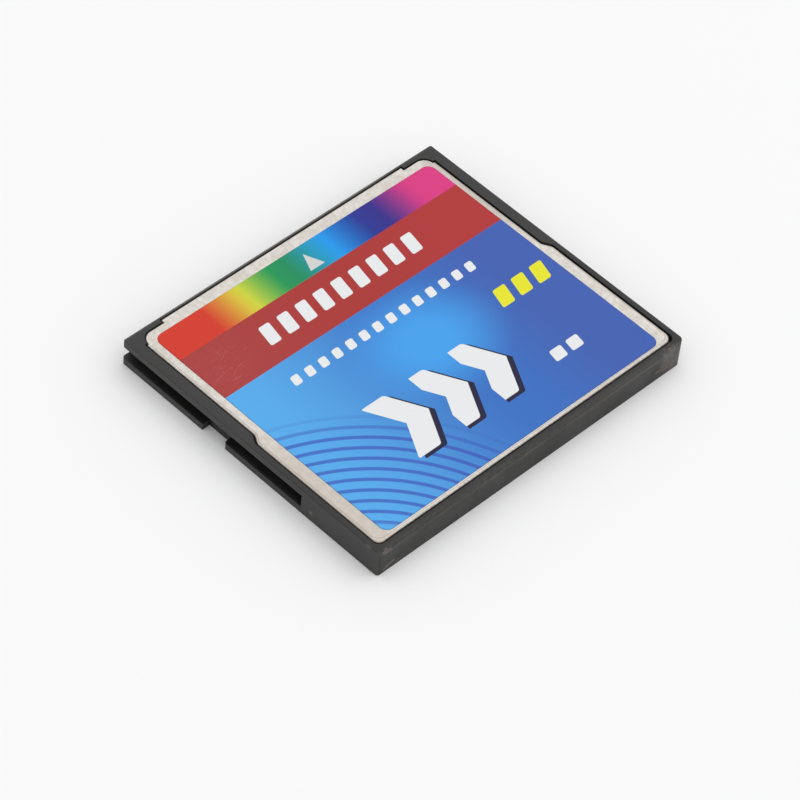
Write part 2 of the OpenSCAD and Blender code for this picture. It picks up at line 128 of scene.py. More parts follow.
def new_group(name, inputs, outputs):
    """An empty node group: inputs are (name, kind, default), outputs are (name, kind)."""
    group = bpy.data.node_groups.new(name, "ShaderNodeTree")
    for label, kind, value in inputs:
        socket = group.interface.new_socket(name=label, in_out="INPUT", socket_type=kind)
        if value is not None:
            socket.default_value = value
    for label, kind in outputs:
        group.interface.new_socket(name=label, in_out="OUTPUT", socket_type=kind)
    entry = group.nodes.new("NodeGroupInput")
    leave = group.nodes.new("NodeGroupOutput")
    return group, entry.outputs, leave.inputs


def use(tree, group, **inputs):
    """Places a node group, with its inputs given by name, and returns its outputs."""
    node = tree.nodes.new("ShaderNodeGroup")
    node.node_tree = group
    for key, value in inputs.items():
        key = key.replace("_", " ").capitalize()
        if isinstance(value, bpy.types.NodeSocket):
            tree.links.new(value, node.inputs[key])
        else:
            node.inputs[key].default_value = value
    return node.outputs


def new_finish(name, colour, roughness, metallic=0.0, specular=0.5):
    """A material with a plain surface, its node tree and its place in millimetres."""
    material = bpy.data.materials.new(name)
    material.use_nodes = True
    tree = material.node_tree
    surface = tree.nodes["Principled BSDF"]
    surface.inputs["Base Color"].default_value = colour
    surface.inputs["Roughness"].default_value = roughness
    surface.inputs["Metallic"].default_value = metallic
    surface.inputs["Specular IOR Level"].default_value = specular
    place = add(tree, "ShaderNodeTexCoord").outputs["Object"]
    scaled = add(tree, "ShaderNodeVectorMath", {0: place, "Scale": 1 / MM}, operation="SCALE").outputs[0]
    return material, tree, surface, scaled


def raise_by(tree, surface, height, distance, strength=1.0):
    """Lets a height of 0 to 1 stand up by a distance."""
    bump = add(tree, "ShaderNodeBump", {"Height": height, "Distance": distance, "Strength": strength})
    tree.links.new(bump.outputs[0], surface.inputs["Normal"])


FLOAT, VECTOR = "NodeSocketFloat", "NodeSocketVector"

moulded_skin, given, made = new_group(
    "moulded_skin",
    [("Place", VECTOR, None), ("Grain", FLOAT, 6.0), ("Cloud", FLOAT, 0.25)],
    [("Height", FLOAT), ("Clouds", FLOAT), ("Specks", FLOAT)])
grain = add(moulded_skin, "ShaderNodeTexNoise", {
    "Vector": given["Place"], "Scale": given["Grain"], "Detail": 3.0, "Roughness": 0.55})
cloud = add(moulded_skin, "ShaderNodeTexNoise", {
    "Vector": given["Place"], "Scale": given["Cloud"], "Detail": 4.0, "Roughness": 0.6})
dust = add(moulded_skin, "ShaderNodeTexVoronoi", {"Vector": given["Place"], "Scale": 1.3, "Randomness": 1.0})
moulded_skin.links.new(grain.outputs[0], made["Height"])
moulded_skin.links.new(spread(moulded_skin, cloud.outputs[0], 0.3, 0.7), made["Clouds"])
moulded_skin.links.new(spread(moulded_skin, dust.outputs["Distance"], 0.05, 0.025), made["Specks"])

worn_patch, given, made = new_group(
    "worn_patch",
    [("Place", VECTOR, None), ("Middle", VECTOR, None), ("Reach", VECTOR, (1, 1, 1)), ("Streak", FLOAT, 1.0),
     ("Lean", FLOAT, 0.0)],
    [("Mask", FLOAT)])
offset = add(worn_patch, "ShaderNodeVectorMath", {0: given["Place"], 1: given["Middle"]}, operation="SUBTRACT")
lean = add(worn_patch, "ShaderNodeVectorRotate", {"Vector": offset.outputs[0], "Angle": given["Lean"]},
           rotation_type="Y_AXIS")
share = add(worn_patch, "ShaderNodeVectorMath", {0: lean.outputs[0], 1: given["Reach"]}, operation="DIVIDE")
away = add(worn_patch, "ShaderNodeVectorMath", {0: share.outputs[0]}, operation="LENGTH").outputs["Value"]
patchy_noise = add(worn_patch, "ShaderNodeTexNoise", {
    "Vector": given["Place"], "Scale": given["Streak"], "Detail": 5.0, "Roughness": 0.7, "Distortion": 0.6})
broken = calc(worn_patch, "ADD", away, calc(worn_patch, "MULTIPLY", patchy_noise.outputs[0], 1.6))
worn_patch.links.new(spread(worn_patch, broken, 1.75, 1.35), made["Mask"])

frame_black, tree, surface, place = new_finish("frame_black", shade(43, 42, 40), 0.5)
skin = use(tree, moulded_skin, place=place, grain=7.0, cloud=0.22)
flat = add(tree, "ShaderNodeSeparateXYZ", {"Vector": place}).outputs
tone = blend(tree, skin["Clouds"], shade(38, 37, 36), shade(46, 45, 45))
# The top face is made darker towards the rear.
top_rear_darkening = calc(tree, "MULTIPLY", spread(tree, flat["Z"], 3.1, 3.25), spread(tree, flat["Y"], 2.0, -4.0))
tone = blend(tree, calc(tree, "MULTIPLY", top_rear_darkening, 0.5), tone, shade(20, 20, 20))
rear = spread(tree, flat["Y"], -17.6, -18.15)
blotch = add(tree, "ShaderNodeTexNoise", {"Vector": place, "Scale": 1.9, "Detail": 6.0, "Roughness": 0.75})
rear_tone = blend(tree, spread(tree, blotch.outputs[0], 0.42, 0.58), shade(37, 33, 34), shade(51, 52, 45))
stretched = add(tree, "ShaderNodeVectorMath", {0: place, 1: (0.25, 6.0, 6.0)}, operation="MULTIPLY")
drag = add(tree, "ShaderNodeTexNoise", {"Vector": stretched.outputs[0], "Scale": 1.0, "Detail": 3.0})
rear_tone = blend(tree, spread(tree, drag.outputs[0], 0.48, 0.62, 0.0, 0.6), rear_tone, shade(26, 25, 25))
rear_tone = blend(tree, spread(tree, flat["X"], 3.0, 15.0, 0.0, 0.35), rear_tone, shade(64, 61, 60))
grit = add(tree, "ShaderNodeTexNoise", {"Vector": place, "Scale": 5.0, "Detail": 2.0, "Roughness": 0.6})
rear_tone = blend(tree, spread(tree, grit.outputs[0], 0.4, 0.7, 0.0, 0.45), rear_tone, shade(66, 65, 58))
tone = blend(tree, rear, tone, rear_tone)
half_x = calc(tree, "ABSOLUTE", flat["X"])
# Painted highlight along the front lip's rounded top edge, strongest towards the middle.
lip_highlight = calc(tree, "MULTIPLY", spread(tree, flat["Y"], 17.8, 17.95), spread(tree, flat["Z"], 3.0, 3.15))
lip_highlight = calc(tree, "MULTIPLY", lip_highlight, spread(tree, half_x, 18.5, 12.0, 0.15, 0.65))
tone = blend(tree, lip_highlight, tone, shade(112, 109, 104))
# Painted shade: the outer part of each long side below about 2.6 mm, the groove's mouth with it, is made nearly black.
lower_side_shade = calc(tree, "MULTIPLY", spread(tree, half_x, 21.35, 21.15), spread(tree, flat["Z"], 2.75, 2.6))
tone = blend(tree, calc(tree, "MULTIPLY", lower_side_shade, 0.75), tone, shade(10, 10, 9))
tone = blend(tree, calc(tree, "MULTIPLY", skin["Specks"], 0.2), tone, shade(92, 90, 86))
scuffs = 0.0
for middle, reach, streak, lean, strength in (
        ((-20.2, -18.1, 2.95), (0.85, 0.5, 0.34), 2.4, -0.3, 1.6),
        ((-19.9, -18.2, 0.72), (1.0, 0.4, 0.24), 3.0, 0.25, 1.2),
        ((-18.7, -18.2, 0.45), (0.5, 0.4, 0.2), 3.0, 0.2, 1.1),
        ((19.6, -18.2, 1.9), (2.2, 1.1, 2.0), 2.0, -0.2, 0.85),
        ((18.45, -18.2, 0.9), (0.5, 0.4, 0.22), 2.0, 0.0, 1.6),
        ((17.6, -18.2, 1.2), (0.4, 0.4, 0.2), 2.0, 0.0, 1.2),
        ((-21.4, -8.9, 1.2), (0.4, 0.42, 0.26), 3.5, 0.0, 1.0),
        ((-21.4, -16.7, 3.15), (0.4, 0.5, 0.2), 3.5, 0.0, 0.8)):
    patch = use(tree, worn_patch, place=place, middle=middle, reach=reach, streak=streak, lean=lean)
    scuffs = calc(tree, "MAXIMUM", scuffs, calc(tree, "MULTIPLY", patch[0], strength))
scuffs = calc(tree, "MULTIPLY", scuffs, spread(tree, blotch.outputs[0], 0.42, 0.6, 0.35, 1.05))
tone = blend(tree, calc(tree, "MULTIPLY", scuffs, 0.6), tone, shade(124, 113, 106))
tree.links.new(tone, surface.inputs["Base Color"])
dull = spread(tree, skin["Clouds"], 0.0, 1.0, 0.44, 0.56)
tree.links.new(calc(tree, "ADD", dull, calc(tree, "MULTIPLY", scuffs, 0.18)), surface.inputs["Roughness"])
raise_by(tree, surface, calc(tree, "ADD", skin["Height"], scuffs), 0.006 * MM)

frame_body = stand_in(merged_copy("frame", "frame_moulding"), "frame", frame_black)
soften(frame_body, 0.05 * MM)

# Each cover is one stamping of 0.2 mm stainless sheet, with its sides and rear turned down
# into a slot of the frame. Its front end is flat and tucks under the front bar.
# A fine line is coined beside the bend; the surface is faintly brushed and mottled from rolling. Painted shade darkens
# the turned-down bends.


def straight(start, end, step=0.6 * MM):
    """Points from start up to but without end, start + (end - start) i / n."""
    start, end = np.array(start), np.array(end)
    count = max(1, int(np.ceil(np.linalg.norm(end - start) / step)))
    return start + (end - start) * (np.arange(count) / count)[:, None]


def round_corner(middle, radius, first, last, count=14):
    """Points middle + radius (cos a, sin a), for a from first up to but without last, in degrees."""
    angle = np.radians(np.linspace(first, last, count, endpoint=False))
    return np.array(middle) + radius * np.stack([np.cos(angle), np.sin(angle)], 1)


def skin_mesh(name, rings):
    """Closed skin over rings[k, j] of points, with a flat cap on the first and the last ring."""
    count, around = rings.shape[:2]
    index = np.arange(count * around).reshape(count, around)
    after = np.roll(index, -1, axis=1)
    quads = np.stack([index[:-1], after[:-1], after[1:], index[1:]], -1).reshape(-1, 4)
    mesh = bpy.data.meshes.new(name)
    mesh.from_pydata(rings.reshape(-1, 3).tolist(), [], quads.tolist() + [index[0].tolist(), index[-1].tolist()])
    shape = bmesh.new()
    shape.from_mesh(mesh)
    bmesh.ops.recalc_face_normals(shape, faces=shape.faces)
    shape.to_mesh(mesh)
    shape.free()
    return mesh


cover_step = np.linspace(0, 1, 24, endpoint=False)
step_curve = np.stack([
    20.0 * MM + 0.6 * MM * (1 - np.cos(math.pi * cover_step)) / 2,
    0.85 * MM - 1.45 * MM * cover_step], 1)
front_run = np.concatenate([
    straight((0, 17.7 * MM), (16.65 * MM, 17.7 * MM)),
    straight((16.65 * MM, 17.7 * MM), (16.65 * MM, 17.28 * MM), 0.1 * MM),
    straight((16.65 * MM, 17.28 * MM), (18.55 * MM, 17.28 * MM), 0.3 * MM),
    round_corner((18.55 * MM, 16.08 * MM), 1.2 * MM, 90, 1),
    straight((19.75 * MM, 16.1 * MM), (20.0 * MM, 16.1 * MM), 0.1 * MM)])
side_run = np.concatenate([
    straight((20.0 * MM, 16.1 * MM), (20.0 * MM, 0.85 * MM)),
    step_curve,
    straight((20.6 * MM, -0.6 * MM), (20.6 * MM, -16.35 * MM)),
    round_corner((19.7 * MM, -16.35 * MM), 0.9 * MM, 0, -90),
    straight((19.7 * MM, -17.25 * MM), (0, -17.25 * MM)),
    [(0, -17.25 * MM)]])
half_outline = np.concatenate([front_run, side_run])
cover_outline = np.concatenate([half_outline, half_outline[-2:0:-1] * (-1, 1)])
half_turned = np.arange(len(half_outline)) >= len(front_run)
turned_down = np.concatenate([half_turned, half_turned[-2:0:-1]])


def sheet_section(bend, rim, coin):
    """Section of the sheet as rows of (inset from the edge, height over the top face), under to top.

    The bend is a quarter circle, (b (1 - cos a), -b (1 - sin a)) for a from 0 to 90 degrees.
    Behind it lie the coined line and a low crest.
    """
    sheet = 0.2 * MM
    angle = np.linspace(0, math.pi / 2, 8)
    foot = -sheet - rim
    under = [
        (1.3 * MM, -sheet), (0.26 * MM, -sheet), (0.2 * MM, -sheet - 0.15 * rim),
        (0.19 * MM, foot + 0.06 * rim), (0.17 * MM, foot), (0.03 * MM, foot), (0, foot + 0.03 * MM)]
    corner = np.stack([bend * (1 - np.cos(angle)), -bend * (1 - np.sin(angle))], 1)
    line = bend + 0.05 * MM
    face = [
        (line - 0.03 * MM, 0), (line, -coin), (line + 0.04 * MM, 0), (line + 0.15 * MM, 0.3 * coin),
        (line + 0.35 * MM, 0), (1.3 * MM, 0)]
    return np.concatenate([under, corner, face])


def cover_skin(name, flip):
    """Skin of a cover: a point (x, y) of the outline at inset d lies at (x (1 - d / w), y (1 - d / l)).

    The section goes over from that of the sides to that of the rear with the outline's own distance
    behind the rear corners. Over the middle the same outline shrinks towards the centre.
    """
    to_rear = np.clip((-16.35 * MM - cover_outline[:, 1]) / (0.9 * MM), 0, 1)[None, :, None]
    near = sheet_section(0.24 * MM, 0.35 * MM, 0.02 * MM)[:, None]
    far = sheet_section(0.13 * MM, 0.35 * MM, 0.012 * MM)[:, None]
    side = np.where((cover_outline[:, 0] > 0)[None, :, None], far, near)
    rear = sheet_section(0.33 * MM, 0.35 * MM, 0.012 * MM)[:, None]
    section = np.where(
        turned_down[None, :, None], side + (rear - side) * to_rear,
        sheet_section(0.05 * MM, 0.0, 0.0)[:, None])
    half_size = np.array([20.4 * MM, 17.3 * MM])
    plan = cover_outline[None] * (1 - section[..., :1] / half_size)
    edge = np.concatenate([plan, section[..., 1:]], -1)
    shrink = np.array([0.3, 0.6, 0.85])[:, None, None]
    under = edge[:1] * np.array([1, 1, 0]) * shrink + np.array([0, 0, -0.2 * MM])
    over = edge[-1:] * np.array([1, 1, 0]) * shrink[::-1]
    rings = np.concatenate([under, edge, over])
    rings[..., 2] += 3.25 * MM
    if flip:
        rings[..., 2] = 3.3 * MM - rings[..., 2]
    mesh = skin_mesh(name, rings)
    row = np.arange(len(rings))
    coined = (row == 19)[:, None] * turned_down
    # Painted shade: the share of darkening on the upper part of the turned-down bend.
    bend_shade = np.interp(row, [12, 13, 14, 17], [1.0, 0.8, 0.5, 0.0])[:, None] * turned_down
    for label, share in (("coined", coined), ("bend_shade", bend_shade)):
        mesh.attributes.new(label, "FLOAT", "POINT").data.foreach_set("value", share.ravel().astype(np.float32))
    return mesh


rolled_sheet, given, made = new_group(
    "rolled_sheet",
    [("Place", VECTOR, None), ("Stretch", VECTOR, (2.6, 0.3, 1.0))],
    [("Lines", FLOAT), ("Mottle", FLOAT), ("Pits", FLOAT)])
drawn = add(rolled_sheet, "ShaderNodeVectorMath", {0: given["Place"], 1: given["Stretch"]}, operation="MULTIPLY")
lines = add(rolled_sheet, "ShaderNodeTexNoise", {
    "Vector": drawn.outputs[0], "Scale": 3.0, "Detail": 4.0, "Roughness": 0.6})
mottle = add(rolled_sheet, "ShaderNodeTexNoise", {
    "Vector": given["Place"], "Scale": 1.7, "Detail": 5.0, "Roughness": 0.65})
pits = add(rolled_sheet, "ShaderNodeTexVoronoi", {"Vector": given["Place"], "Scale": 2.6})
rolled_sheet.links.new(lines.outputs[0], made["Lines"])
rolled_sheet.links.new(spread(rolled_sheet, mottle.outputs[0], 0.32, 0.68), made["Mottle"])
rolled_sheet.links.new(spread(rolled_sheet, pits.outputs["Distance"], 0.1, 0.04), made["Pits"])

cover_steel, tree, surface, place = new_finish("cover_steel", shade(218, 212, 205), 0.4, metallic=1.0)
sheet = use(tree, rolled_sheet, place=place)
metal = blend(tree, sheet["Mottle"], shade(210, 203, 194), shade(229, 226, 220))
metal = blend(tree, spread(tree, sheet["Lines"], 0.45, 0.7, 0.0, 0.4), metal, shade(200, 195, 187))
metal = blend(tree, calc(tree, "MULTIPLY", sheet["Pits"], 0.35), metal, shade(158, 149, 138))
patchy_noise = add(tree, "ShaderNodeTexNoise", {"Vector": place, "Scale": 4.0, "Detail": 3.0})
# Painted shade on the turned-down bend, broken up by noise.
bend_shade = add(tree, "ShaderNodeAttribute", attribute_name="bend_shade").outputs["Fac"]
bend_shade = calc(tree, "MULTIPLY", bend_shade, spread(tree, patchy_noise.outputs[0], 0.35, 0.6, 0.35, 1.0))
metal = blend(tree, calc(tree, "MULTIPLY", bend_shade, 0.8), metal, shade(112, 100, 92))
flat = add(tree, "ShaderNodeSeparateXYZ", {"Vector": place}).outputs
# Painted shade: the rear bend is darkened further, patchily, towards the rear edge.
rear_bend_shade = calc(tree, "MULTIPLY", spread(tree, flat["Y"], -16.92, -17.2), spread(tree, patchy_noise.outputs[0], 0.3, 0.6, 0.3, 1.0))
metal = blend(tree, calc(tree, "MULTIPLY", rear_bend_shade, 0.7), metal, shade(136, 124, 114))
# The exposed rear strip of flat steel is made a little darker and greyer.
rear_strip_darker = spread(tree, flat["Y"], -16.5, -16.75, 0.0, 0.3)
metal = blend(tree, rear_strip_darker, metal, shade(196, 194, 188))
# The left strip is made darker towards the rear, and the right strip darker towards the front.
left_strip_darker = calc(tree, "MULTIPLY", spread(tree, flat["X"], -17.0, -19.5), spread(tree, flat["Y"], 6.0, -8.0))
metal = blend(tree, calc(tree, "MULTIPLY", left_strip_darker, 0.55), metal, shade(192, 180, 169))
right_strip_darker = calc(tree, "MULTIPLY", spread(tree, flat["X"], 18.6, 19.4), spread(tree, flat["Y"], 1.0, 7.0, 0.0, 0.5))
metal = blend(tree, right_strip_darker, metal, shade(192, 182, 174))
coined = add(tree, "ShaderNodeAttribute", attribute_name="coined").outputs["Fac"]
metal = blend(tree, calc(tree, "MULTIPLY", coined, 0.9), metal, shade(142, 120, 112))
tree.links.new(metal, surface.inputs["Base Color"])
tree.links.new(spread(tree, sheet["Lines"], 0.2, 0.8, 0.33, 0.5), surface.inputs["Roughness"])
raise_by(tree, surface, calc(tree, "ADD", sheet["Lines"], calc(tree, "MULTIPLY", sheet["Mottle"], 0.5)), 0.003 * MM)

stand_in(cover_skin("bottom_cover_sheet", True), "bottom_cover", cover_steel, 50)
stand_in(cover_skin("top_cover_sheet", False), "top_cover", cover_steel, 50)

# The label is one die-stamped film with a soft rounded edge in painted shade, glued on the steel a hair off centre.
# Its print is a strip of blended colours, a red band and a blue field that is lightest at the
# left and round the middle, with plain blocks, chevrons and arcs. It has a low gloss.


def label_skin():
    """Skin of the film: the outline at inset d lies at (x (1 - d / w), y (1 - d / l)).

    Its edge section is a quarter circle of radius r, (r (1 - cos a), r sin a - r).
    """
    half_size = np.array([19.12 * MM, 16.55 * MM])
    corner = 1.0 * MM
    inner = half_size - corner
    quarter = [round_corner(inner * sign, corner, first, first - 90, 16) for sign, first in (
        ((1, 1), 90), ((1, -1), 0), ((-1, -1), -90), ((-1, 1), -180))]
    outline = np.concatenate(quarter)
    angle = np.linspace(0, math.pi / 2, 5)
    edge_r = 0.03 * MM
    inset = np.concatenate([[1.0 * MM, 0], edge_r * (1 - np.cos(angle)), [0.1 * MM, 1.0 * MM]])[:, None, None]
    height = np.concatenate([[0, 0], 0.02 * MM + edge_r * np.sin(angle), [0.05 * MM, 0.05 * MM]])
    plan = outline[None] * (1 - inset / half_size)
    plan = plan + 0.003 * plan[..., ::-1] * np.array([1, -1])
    rings = np.concatenate([plan, np.broadcast_to(height[:, None, None], plan.shape[:2] + (1,))], -1)
    rings = rings + np.array([0.15 * MM, -0.19 * MM, 3.25 * MM])
    mesh = skin_mesh("label_film", rings)
    # Painted shade: the share of darkening on the film's rounded edge.
    edge_shade = np.repeat([0.0, 1, 1, 1, 1, 1, 1, 0, 0], len(outline))
    mesh.attributes.new("edge_shade", "FLOAT", "POINT").data.foreach_set("value", edge_shade.astype(np.float32))
    return mesh


slanted_block, given, made = new_group(
    "slanted_block",
    [("X", FLOAT, 0.0), ("Y", FLOAT, 0.0), ("Middle x", FLOAT, 0.0), ("Middle y", FLOAT, 0.0),
     ("Half width", FLOAT, 1.0), ("Half height", FLOAT, 1.0), ("Slant", FLOAT, 0.2), ("Fold", FLOAT, 0.0),
     ("Corner", FLOAT, 0.25)],
    [("Mask", FLOAT)])
up = calc(slanted_block, "SUBTRACT", given["Y"], given["Middle y"])
leaning = calc(slanted_block, "MULTIPLY", up, given["Slant"])
folded = calc(slanted_block, "MULTIPLY", calc(slanted_block, "ABSOLUTE", up), given["Fold"])
across = calc(slanted_block, "SUBTRACT", calc(slanted_block, "SUBTRACT", given["X"], given["Middle x"]), leaning)
across = calc(slanted_block, "ABSOLUTE", calc(slanted_block, "ADD", across, folded))
core_width = calc(slanted_block, "SUBTRACT", given["Half width"], given["Corner"])
core_height = calc(slanted_block, "SUBTRACT", given["Half height"], given["Corner"])
past_width = calc(slanted_block, "MAXIMUM", calc(slanted_block, "SUBTRACT", across, core_width), 0.0)
past_height = calc(
    slanted_block, "MAXIMUM", calc(slanted_block, "SUBTRACT", calc(slanted_block, "ABSOLUTE", up), core_height), 0.0)
outside = calc(slanted_block, "SQRT", calc(
    slanted_block, "ADD", calc(slanted_block, "MULTIPLY", past_width, past_width),
    calc(slanted_block, "MULTIPLY", past_height, past_height)))
outside = calc(slanted_block, "SUBTRACT", outside, given["Corner"])
slanted_block.links.new(spread(slanted_block, outside, 0.03, -0.03), made["Mask"])

arc_lines, given, made = new_group(
    "arc_lines",
    [("X", FLOAT, 0.0), ("Y", FLOAT, 0.0), ("Middle x", FLOAT, 0.0), ("Middle y", FLOAT, 0.0),
     ("Near", FLOAT, 8.0), ("Far", FLOAT, 16.0), ("Spacing", FLOAT, 1.0), ("Share", FLOAT, 0.3)],
    [("Mask", FLOAT)])
from_x = calc(arc_lines, "SUBTRACT", given["X"], given["Middle x"])
from_y = calc(arc_lines, "SUBTRACT", given["Y"], given["Middle y"])
out = calc(arc_lines, "SQRT", calc(
    arc_lines, "ADD", calc(arc_lines, "MULTIPLY", from_x, from_x), calc(arc_lines, "MULTIPLY", from_y, from_y)))
turn = calc(arc_lines, "FRACT", calc(arc_lines, "DIVIDE", out, given["Spacing"]))
line = calc(arc_lines, "SUBTRACT", calc(arc_lines, "ABSOLUTE", calc(arc_lines, "SUBTRACT", turn, 0.5)), given["Share"])
ring_line = spread(arc_lines, line, 0.05, -0.05)
start = add(arc_lines, "ShaderNodeMapRange", {
    "Value": out, "From Min": given["Near"], "From Max": calc(arc_lines, "ADD", given["Near"], 1.0)})
finish = add(arc_lines, "ShaderNodeMapRange", {
    "Value": out, "From Min": given["Far"], "From Max": calc(arc_lines, "SUBTRACT", given["Far"], 3.0)})
both = calc(arc_lines, "MULTIPLY", start.outputs[0], finish.outputs[0])
arc_lines.links.new(calc(arc_lines, "MULTIPLY", ring_line, both), made["Mask"])

SHEEN = 0.034
label_print, tree, surface, place = new_finish("label_print", shade(84, 150, 220), 0.34, specular=0.32)
turned = add(tree, "ShaderNodeVectorRotate", {"Vector": place, "Angle": math.radians(0.3)}, rotation_type="Z_AXIS")
flat = add(tree, "ShaderNodeSeparateXYZ", {"Vector": turned.outputs[0]})
x, y = flat.outputs["X"], flat.outputs["Y"]

strip_x = add(tree, "ShaderNodeMapRange", {"Value": x, "From Min": -19.0, "From Max": 19.0})
strip = add(tree, "ShaderNodeValToRGB", {"Fac": strip_x.outputs[0]})
stops = (
    (-13, (214, 73, 61)), (-9, (221, 196, 74)), (-8, (208, 215, 76)), (-3.9, (52, 153, 95)), (-2, (33, 145, 102)),
    (1.7, (36, 158, 204)), (3.3, (38, 158, 240)), (8, (60, 70, 151)), (10.3, (67, 62, 142)), (14.4, (204, 70, 137)),
    (15.6, (222, 73, 135)))
ramp = strip.color_ramp
for at, ink in stops[1:-1]:
    ramp.elements.new((at + 19) / 38).color = (*(np.array(ink) / 255).tolist(), 1.0)
for end, (at, ink) in ((0, stops[0]), (-1, stops[-1])):
    ramp.elements[end].position = (at + 19) / 38
    ramp.elements[end].color = (*(np.array(ink) / 255).tolist(), 1.0)
strip_ink = add(tree, "ShaderNodeGamma", {"Color": strip.outputs["Color"], "Gamma": 2.2}).outputs[0]
strip_ink = blend(tree, 1.0, strip_ink, (SHEEN, SHEEN, SHEEN, 1.0), "SUBTRACT")

blue = blend(tree, spread(tree, x, -19, 3), shade(95, 176, 240, SHEEN), shade(70, 119, 199, SHEEN))
blue = blend(tree, spread(tree, x, 3, 15), blue, shade(76, 104, 182, SHEEN))
glow_x = calc(tree, "MULTIPLY", calc(tree, "SUBTRACT", x, 1.5), 0.85)
glow_y = calc(tree, "ADD", y, 1.5)
glow = calc(tree, "SQRT", calc(
    tree, "ADD", calc(tree, "MULTIPLY", glow_x, glow_x), calc(tree, "MULTIPLY", glow_y, glow_y)))
blue = blend(tree, spread(tree, glow, 8.9, 1.5), blue, shade(80, 166, 241, SHEEN))
arcs = use(tree, arc_lines, x=x, y=y, middle_x=-27.0, middle_y=-25.0, near=12.0, far=27.0, spacing=1.35, share=0.16)
blue = blend(tree, calc(tree, "MULTIPLY", arcs[0], 0.75), blue, shade(72, 90, 185, SHEEN))

red = blend(tree, spread(tree, x, -19, 0), shade(175, 76, 76, SHEEN), shade(175, 68, 66, SHEEN))
red = blend(tree, spread(tree, x, 2, 16), red, shade(182, 67, 68, SHEEN))
print_colour = blend(tree, spread(tree, y, 5.78, 5.84), blue, red)
print_colour = blend(tree, spread(tree, y, 12.36, 12.42), print_colour, strip_ink)


def row_place(first, pitch, count):
    """The place across one block of an even row, x - first - pitch round((x - first) / pitch)."""
    along = calc(tree, "SUBTRACT", x, first)
    step = calc(tree, "ROUND", calc(tree, "DIVIDE", along, pitch))
    step = calc(tree, "MINIMUM", calc(tree, "MAXIMUM", step, 0.0), count - 1.0)
    return calc(tree, "SUBTRACT", along, calc(tree, "MULTIPLY", step, pitch))


white = shade(236, 238, 240, SHEEN)
dark = shade(55, 45, 75, SHEEN)
yellow = shade(235, 233, 60, SHEEN)
chevrons = row_place(-6.2, 5.4, 3)
shadow = use(
    tree, slanted_block, x=chevrons, y=y, middle_x=0.45, middle_y=-8.45, half_width=1.5, half_height=4.1, slant=0.0,
    fold=0.55)
body = use(
    tree, slanted_block, x=chevrons, y=y, middle_x=0.0, middle_y=-8.0, half_width=1.5, half_height=4.1, slant=0.0,
    fold=0.55)
print_colour = blend(tree, shadow[0], print_colour, dark)
print_colour = blend(tree, body[0], print_colour, white)
blocks = (
    (row_place(-9.8, 2.45, 9), 9.3, 0.72, 1.3, 0.2, white),
    (row_place(-12.0, 1.85, 14), 3.1, 0.5, 0.62, 0.2, white),
    (row_place(11.8, 2.6, 3), -2.0, 0.85, 1.2, 0.3, yellow),
    (row_place(10.4, 2.3, 2), -11.1, 0.8, 0.75, 0.2, white))
for along, middle_y, half_width, half_height, slant, ink in blocks:
    mask = use(
        tree, slanted_block, x=along, y=y, middle_y=middle_y, half_width=half_width, half_height=half_height,
        slant=slant)
    print_colour = blend(tree, mask[0], print_colour, ink)
rise = calc(tree, "SUBTRACT", y, 12.98)
arrow_side = calc(tree, "SUBTRACT", calc(tree, "ABSOLUTE", calc(tree, "SUBTRACT", x, 0.22)), 0.97)
arrow_edge = calc(tree, "ADD", arrow_side, calc(tree, "MULTIPLY", rise, 0.43))
arrow = calc(tree, "MAXIMUM", arrow_edge, calc(tree, "MULTIPLY", rise, -1.0))
print_colour = blend(tree, spread(tree, arrow, 0.03, -0.03), print_colour, shade(214, 216, 214, SHEEN))

film = use(tree, moulded_skin, place=place, grain=1.1, cloud=0.5)
scratch = use(tree, rolled_sheet, place=place, stretch=(0.5, 5.0, 1.0))
print_colour = blend(tree, calc(tree, "MULTIPLY", film["Specks"], 0.12), print_colour, shade(230, 230, 225))
fold_turn = add(tree, "ShaderNodeVectorRotate", {"Vector": place, "Angle": math.radians(-12)}, rotation_type="Z_AXIS")
fold_place = add(tree, "ShaderNodeVectorMath", {0: fold_turn.outputs[0], 1: (0.4, 2.4, 1.0)}, operation="MULTIPLY")
folds = add(tree, "ShaderNodeTexNoise", {
    "Vector": fold_place.outputs[0], "Scale": 0.9, "Detail": 2.0, "Roughness": 0.5, "Distortion": 0.3})
fold_line = spread(tree, calc(tree, "ABSOLUTE", calc(tree, "SUBTRACT", folds.outputs[0], 0.5)), 0.03, 0.0)
creased = use(tree, worn_patch, place=place, middle=(-15.9, 9.0, 3.3), reach=(3.4, 2.8, 3.0), streak=0.5)
fold_line = calc(tree, "MULTIPLY", fold_line, creased[0])
print_colour = blend(tree, calc(tree, "MULTIPLY", fold_line, 0.13), print_colour, shade(214, 150, 146))
# Painted shade darkens the film's edge.
edge_shade = add(tree, "ShaderNodeAttribute", attribute_name="edge_shade").outputs["Fac"]
print_colour = blend(tree, calc(tree, "MULTIPLY", edge_shade, 0.22), print_colour, shade(40, 36, 40))
tree.links.new(print_colour, surface.inputs["Base Color"])
tree.links.new(spread(tree, scratch["Lines"], 0.25, 0.75, 0.30, 0.40), surface.inputs["Roughness"])
raise_by(tree, surface, film["Height"], 0.0025 * MM)
stand_in(label_skin(), "front_label", label_print, 50)

# The connector is a black glass-filled body with two rows of square holes at its front face.
# A gold-plated forked contact is pressed into each hole from behind.

connector_black, tree, surface, place = new_finish("connector_black", shade(38, 38, 39), 0.42)
skin = use(tree, moulded_skin, place=place, grain=9.0, cloud=0.4)
tree.links.new(blend(tree, skin["Clouds"], shade(33, 33, 34), shade(42, 42, 43)), surface.inputs["Base Color"])
tree.links.new(spread(tree, skin["Clouds"], 0.0, 1.0, 0.36, 0.5), surface.inputs["Roughness"])
raise_by(tree, surface, skin["Height"], 0.004 * MM)

